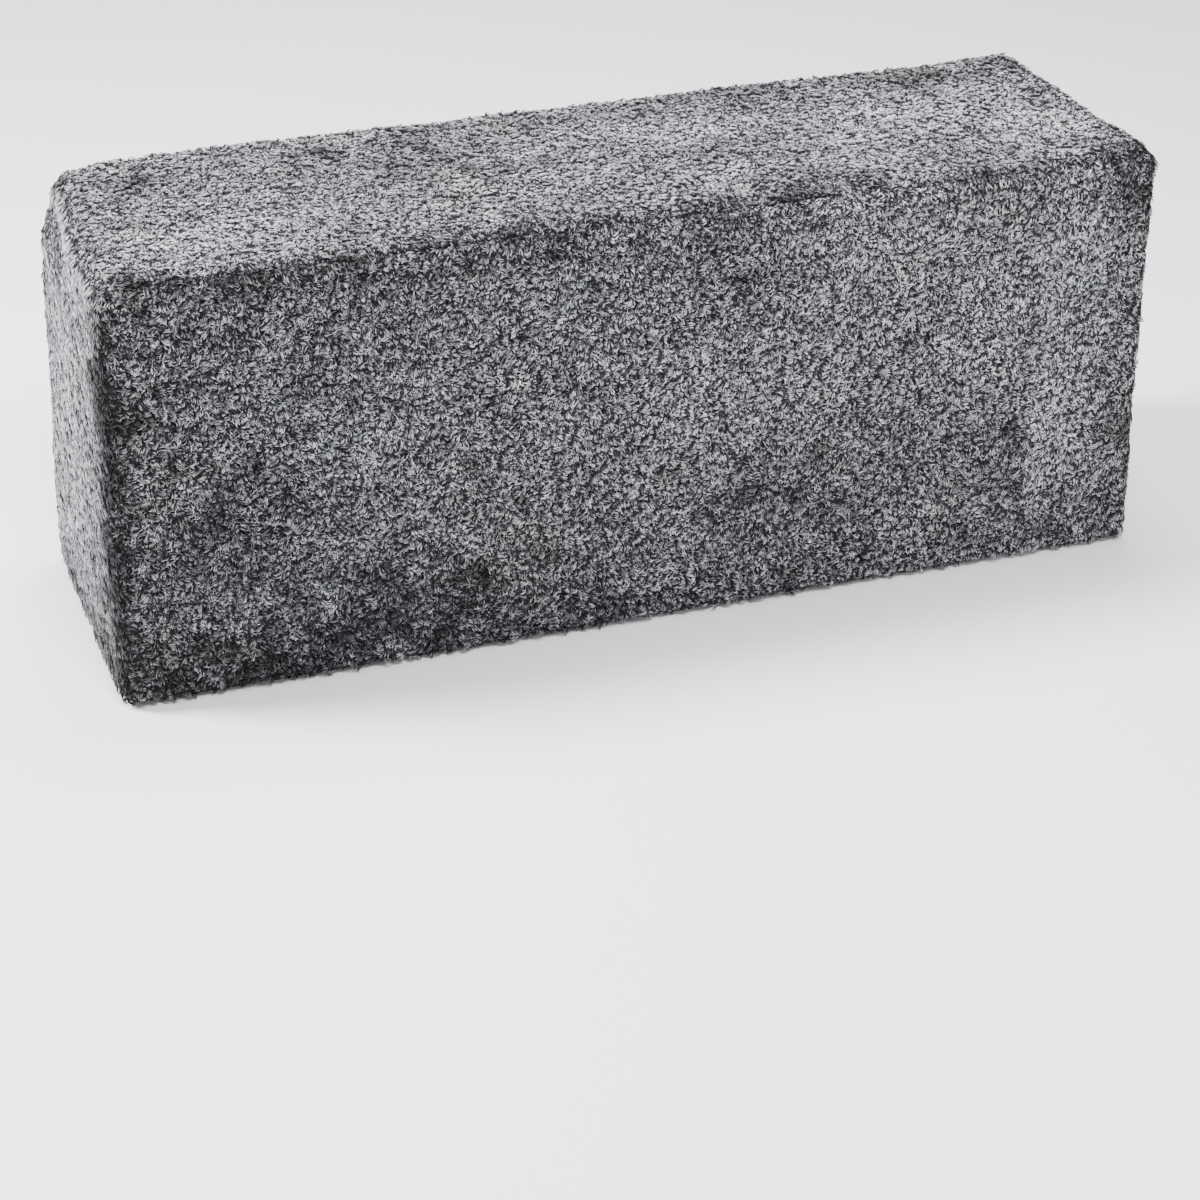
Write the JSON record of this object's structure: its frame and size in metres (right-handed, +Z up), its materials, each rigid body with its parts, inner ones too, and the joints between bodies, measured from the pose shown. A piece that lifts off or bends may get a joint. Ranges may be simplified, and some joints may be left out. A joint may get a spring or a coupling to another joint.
{
  "type": "sheepskin upholstered bench",
  "caption": "Long box-shaped bench or footstool, a timber frame padded with foam and covered all over in short curly grey sheepskin.",
  "frame": {"origin": "on the floor, under the middle of the bench: the centre of the bounding box's bottom face", "axes": "+X along the bench to its right end as seen from the front, +Y from the front to the back, +Z up"},
  "size_m": [1.1, 0.35, 0.45],
  "materials": {
    "wool": "short curly shorn wool pile, matt, graphite grey with pale tips",
    "foam": "open-cell upholstery foam, cream",
    "wadding": "white polyester wadding",
    "plywood": "raw birch plywood, sanded",
    "chipboard": "raw particle board",
    "softwood": "planed pine, unfinished",
    "dust_cloth": "black spunbonded non-woven cloth with a point-bonded dimple pattern",
    "nylon": "moulded black nylon, fine matt texture",
    "zinc_steel": "bright zinc plating"
  },
  "bodies": {
    "root": {"cover_top": "wool", "cover_front": "wool", "cover_front_strip": "wool", "cover_back": "wool", "cover_back_strip": "wool", "cover_left_end": "wool", "cover_right_end": "wool", "seat_foam": "foam", "front_foam": "foam", "back_foam": "foam", "left_foam": "foam", "right_foam": "foam", "seat_wadding": "wadding", "seat_deck": "plywood", "rib_left": "plywood", "rib_right": "plywood", "front_board": "chipboard", "back_board": "chipboard", "left_board": "chipboard", "right_board": "chipboard", "post_front_left": "softwood", "post_front_right": "softwood", "post_back_left": "softwood", "post_back_right": "softwood", "base_rail_front": "softwood", "base_rail_back": "softwood", "base_rail_left": "softwood", "base_rail_right": "softwood", "top_rail_front": "softwood", "top_rail_back": "softwood", "top_rail_left": "softwood", "top_rail_right": "softwood", "rail_dowels": "softwood", "dust_cover": "dust_cloth", "glide_front_left": "nylon", "glide_front_middle": "nylon", "glide_front_right": "nylon", "glide_back_left": "nylon", "glide_back_middle": "nylon", "glide_back_right": "nylon", "deck_screws": "zinc_steel", "board_screws": "zinc_steel", "glide_screws": "zinc_steel", "cover_staples": "zinc_steel", "dust_cover_staples": "zinc_steel"}
  },
  "joints": []
}
